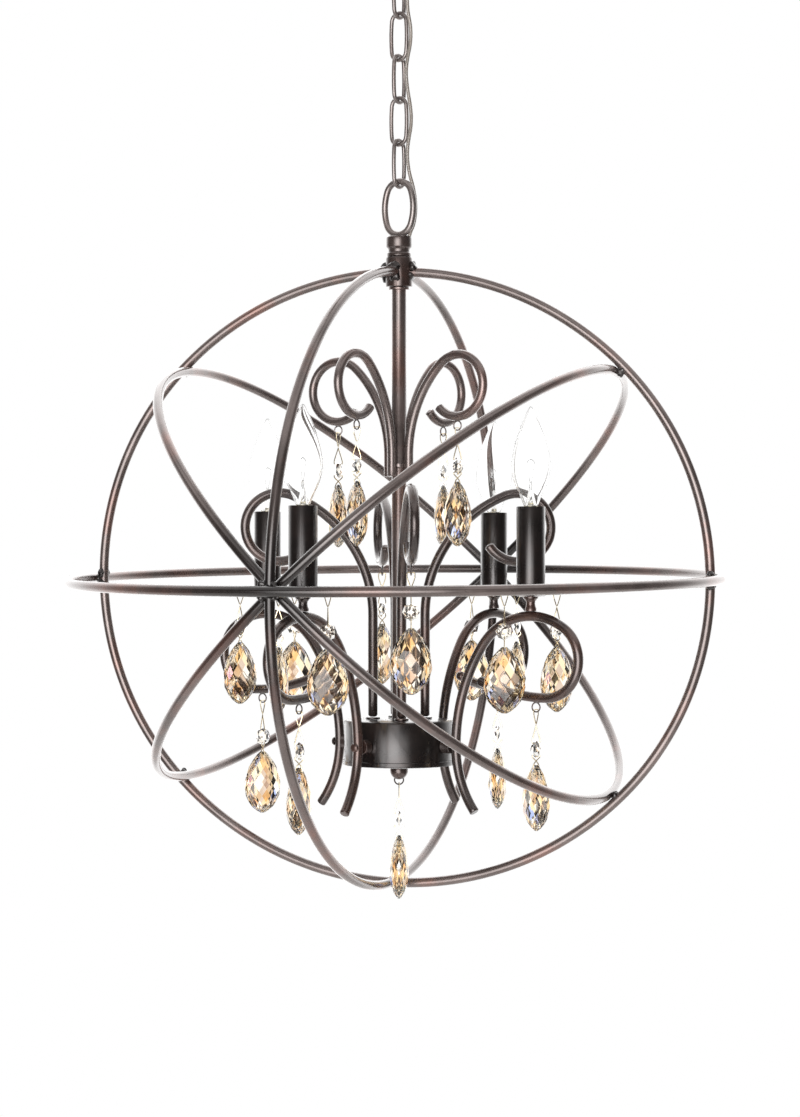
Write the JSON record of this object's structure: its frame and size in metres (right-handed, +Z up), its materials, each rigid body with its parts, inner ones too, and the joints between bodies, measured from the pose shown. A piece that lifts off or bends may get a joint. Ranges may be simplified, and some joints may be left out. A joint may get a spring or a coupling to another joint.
{
  "type": "orb chandelier",
  "caption": "Ball of five bronze hoops round a stem with candle arms, iron scrolls and faceted crystal pendants, hung on a short chain from a ceiling canopy",
  "frame": {"origin": "middle of the ceiling face of the mounting bar, on the axis of the stem", "axes": "+Z up out of the ceiling plate; -Y towards the viewer of the picture; X to the right"},
  "size_m": [0.5459, 0.5458, 0.8269],
  "materials": {
    "bronze": "dark oil rubbed bronze with reddish edges",
    "chain_bronze": "worn bronze, greyer than the frame",
    "zinc": "zinc plated steel",
    "socket": "black moulded socket",
    "bulb_glass": "clear glass with a brass screw base",
    "crystal": "faceted champagne crystal",
    "clear_lead": "clear sheathed flex"
  },
  "bodies": {
    "ceiling": {"canopy": "bronze", "mounting_bar": "zinc", "canopy_loop": "chain_bronze", "loop_nuts": "chain_bronze"},
    "link_5": {"chain_link_5": "chain_bronze"},
    "link_4": {"chain_link_4": "chain_bronze"},
    "link_3": {"chain_link_3": "chain_bronze"},
    "link_2": {"chain_link_2": "chain_bronze"},
    "link_1": {"chain_link_1": "chain_bronze"},
    "lamp": {"hanging_loop": "chain_bronze", "top_collar": "bronze", "stem": "bronze", "supply_lead": "clear_lead", "hoop_side": "bronze", "hoop_front": "bronze", "hoop_equator": "bronze", "hoop_slanted_left": "bronze", "hoop_slanted_right": "bronze", "upper_scrolls": "bronze", "middle_scroll_front": "bronze", "middle_scroll_right": "bronze", "middle_scroll_rear": "bronze", "middle_scroll_left": "bronze", "main_arm_front_right": "bronze", "main_arm_front_left": "bronze", "main_arm_rear_left": "bronze", "main_arm_rear_right": "bronze", "hub_cup": "bronze", "hub_cover": "bronze", "finial_ball": "bronze", "arm_bosses": "bronze", "hub_fasteners": "bronze", "candle_necks": "bronze", "drip_pans": "bronze", "candle_sleeves": "bronze", "lamp_sockets": "socket"},
    "bulb_front_right": {"bulb_front_right": "bulb_glass"},
    "bulb_front_left": {"bulb_front_left": "bulb_glass"},
    "bulb_rear_left": {"bulb_rear_left": "bulb_glass"},
    "bulb_rear_right": {"bulb_rear_right": "bulb_glass"},
    "pendant_upper_front_right": {"pendant_upper_front_right": "crystal"},
    "pendant_lower_front_right": {"pendant_lower_front_right": "crystal"},
    "pendant_pan_front_right_a": {"pendant_pan_front_right_a": "crystal"},
    "pendant_pan_front_right_b": {"pendant_pan_front_right_b": "crystal"},
    "pendant_upper_front_left": {"pendant_upper_front_left": "crystal"},
    "pendant_lower_front_left": {"pendant_lower_front_left": "crystal"},
    "pendant_pan_front_left_a": {"pendant_pan_front_left_a": "crystal"},
    "pendant_pan_front_left_b": {"pendant_pan_front_left_b": "crystal"},
    "pendant_upper_rear_left": {"pendant_upper_rear_left": "crystal"},
    "pendant_lower_rear_left": {"pendant_lower_rear_left": "crystal"},
    "pendant_pan_rear_left_a": {"pendant_pan_rear_left_a": "crystal"},
    "pendant_pan_rear_left_b": {"pendant_pan_rear_left_b": "crystal"},
    "pendant_upper_rear_right": {"pendant_upper_rear_right": "crystal"},
    "pendant_lower_rear_right": {"pendant_lower_rear_right": "crystal"},
    "pendant_pan_rear_right_a": {"pendant_pan_rear_right_a": "crystal"},
    "pendant_pan_rear_right_b": {"pendant_pan_rear_right_b": "crystal"},
    "pendant_middle_front": {"pendant_middle_front": "crystal"},
    "pendant_middle_rear": {"pendant_middle_rear": "crystal"},
    "pendant_finial": {"pendant_finial": "crystal"}
  },
  "joints": [
    {"name": "link_5_swing", "type": "hinge", "parent": "ceiling", "child": "link_5", "pos_m": [0, 0, -0.07122], "axis": [0.829, -0.5592, 0], "range_deg": [-10, 10]},
    {"name": "link_4_swing", "type": "hinge", "parent": "link_5", "child": "link_4", "pos_m": [0, 0, -0.10487], "axis": [-0.5592, -0.829, 0], "range_deg": [-10, 10]},
    {"name": "link_3_swing", "type": "hinge", "parent": "link_4", "child": "link_3", "pos_m": [0, 0, -0.13958], "axis": [0.829, -0.5592, 0], "range_deg": [-10, 10]},
    {"name": "link_2_swing", "type": "hinge", "parent": "link_3", "child": "link_2", "pos_m": [0, 0, -0.17428], "axis": [-0.5592, -0.829, 0], "range_deg": [-10, 10]},
    {"name": "link_1_swing", "type": "hinge", "parent": "link_2", "child": "link_1", "pos_m": [0, 0, -0.20897], "axis": [0.829, -0.5592, 0], "range_deg": [-10, 10]},
    {"name": "lamp_swing", "type": "hinge", "parent": "link_1", "child": "lamp", "pos_m": [0, 0, -0.24368], "axis": [-0.5592, -0.829, 0], "range_deg": [-10, 10], "deforming": ["supply_lead"]},
    {"name": "bulb_front_right_unscrew", "type": "slide", "parent": "lamp", "child": "bulb_front_right", "axis": [0, 0, 1], "range_m": [0, 0.03]},
    {"name": "bulb_front_left_unscrew", "type": "slide", "parent": "lamp", "child": "bulb_front_left", "axis": [0, 0, 1], "range_m": [0, 0.03]},
    {"name": "bulb_rear_left_unscrew", "type": "slide", "parent": "lamp", "child": "bulb_rear_left", "axis": [0, 0, 1], "range_m": [0, 0.03]},
    {"name": "bulb_rear_right_unscrew", "type": "slide", "parent": "lamp", "child": "bulb_rear_right", "axis": [0, 0, 1], "range_m": [0, 0.03]},
    {"name": "pendant_upper_front_right_swing", "type": "hinge", "parent": "lamp", "child": "pendant_upper_front_right", "pos_m": [0.04712, -0.03551, -0.4445], "axis": [0.7986, -0.6018, 0], "range_deg": [-10, 10]},
    {"name": "pendant_lower_front_right_swing", "type": "hinge", "parent": "lamp", "child": "pendant_lower_front_right", "pos_m": [0.10782, -0.08124, -0.66896], "axis": [0.7986, -0.6018, 0], "range_deg": [-10, 10]},
    {"name": "pendant_pan_front_right_a_swing", "type": "hinge", "parent": "lamp", "child": "pendant_pan_front_right_a", "pos_m": [0.1251, -0.06692, -0.5762], "axis": [-0.4695, 0.8829, 0], "range_deg": [-10, 3]},
    {"name": "pendant_pan_front_right_b_swing", "type": "hinge", "parent": "lamp", "child": "pendant_pan_front_right_b", "pos_m": [0.08254, -0.08955, -0.5762], "axis": [-0.4695, 0.8829, 0], "range_deg": [-4, 10]},
    {"name": "pendant_upper_front_left_swing", "type": "hinge", "parent": "lamp", "child": "pendant_upper_front_left", "pos_m": [-0.03384, -0.04833, -0.4445], "axis": [-0.5736, -0.8192, 0], "range_deg": [-10, 10]},
    {"name": "pendant_lower_front_left_swing", "type": "hinge", "parent": "lamp", "child": "pendant_lower_front_left", "pos_m": [-0.07743, -0.11059, -0.66896], "axis": [-0.5736, -0.8192, 0], "range_deg": [-10, 10]},
    {"name": "pendant_pan_front_left_a_swing", "type": "hinge", "parent": "lamp", "child": "pendant_pan_front_left_a", "pos_m": [-0.05482, -0.12031, -0.5762], "axis": [0.5736, 0.8192, 0], "range_deg": [-10, 4]},
    {"name": "pendant_pan_front_left_b_swing", "type": "hinge", "parent": "lamp", "child": "pendant_pan_front_left_b", "pos_m": [-0.09431, -0.09267, -0.5762], "axis": [0.5736, 0.8192, 0], "range_deg": [-4, 10]},
    {"name": "pendant_upper_rear_left_swing", "type": "hinge", "parent": "lamp", "child": "pendant_upper_rear_left", "pos_m": [-0.05057, 0.03039, -0.4445], "axis": [-0.8572, 0.515, 0], "range_deg": [-10, 10]},
    {"name": "pendant_lower_rear_left_swing", "type": "hinge", "parent": "lamp", "child": "pendant_lower_rear_left", "pos_m": [-0.11572, 0.06953, -0.66896], "axis": [-0.8572, 0.515, 0], "range_deg": [-10, 10]},
    {"name": "pendant_pan_rear_left_a_swing", "type": "hinge", "parent": "lamp", "child": "pendant_pan_rear_left_a", "pos_m": [-0.08879, 0.0752, -0.5762], "axis": [-0.342, 0.9397, 0], "range_deg": [-10, 2]},
    {"name": "pendant_pan_rear_left_b_swing", "type": "hinge", "parent": "lamp", "child": "pendant_pan_rear_left_b", "pos_m": [-0.13408, 0.05871, -0.5762], "axis": [-0.342, 0.9397, 0], "range_deg": [-1, 10]},
    {"name": "pendant_upper_rear_right_swing", "type": "hinge", "parent": "lamp", "child": "pendant_upper_rear_right", "pos_m": [0.03713, 0.04585, -0.4445], "axis": [0.6293, 0.7771, 0], "range_deg": [-10, 10]},
    {"name": "pendant_lower_rear_right_swing", "type": "hinge", "parent": "lamp", "child": "pendant_lower_rear_right", "pos_m": [0.08496, 0.10491, -0.66896], "axis": [0.6293, 0.7771, 0], "range_deg": [-10, 10]},
    {"name": "pendant_pan_rear_right_a_swing", "type": "hinge", "parent": "lamp", "child": "pendant_pan_rear_right_a", "pos_m": [0.10054, 0.08586, -0.5762], "axis": [0.6293, 0.7771, 0], "range_deg": [-10, 4]},
    {"name": "pendant_pan_rear_right_b_swing", "type": "hinge", "parent": "lamp", "child": "pendant_pan_rear_right_b", "pos_m": [0.06308, 0.1162, -0.5762], "axis": [0.6293, 0.7771, 0], "range_deg": [-4, 10]},
    {"name": "pendant_middle_front_swing", "type": "hinge", "parent": "lamp", "child": "pendant_middle_front", "pos_m": [0.00939, -0.09755, -0.56125], "axis": [0.0958, -0.9954, 0], "range_deg": [-10, 10]},
    {"name": "pendant_middle_rear_swing", "type": "hinge", "parent": "lamp", "child": "pendant_middle_rear", "pos_m": [-0.01448, 0.09692, -0.56125], "axis": [-0.1478, 0.989, 0], "range_deg": [-10, 10]},
    {"name": "pendant_finial_swing", "type": "hinge", "parent": "lamp", "child": "pendant_finial", "pos_m": [0, 0, -0.73276], "axis": [1, 0, 0], "range_deg": [-3, 0.4]}
  ]
}
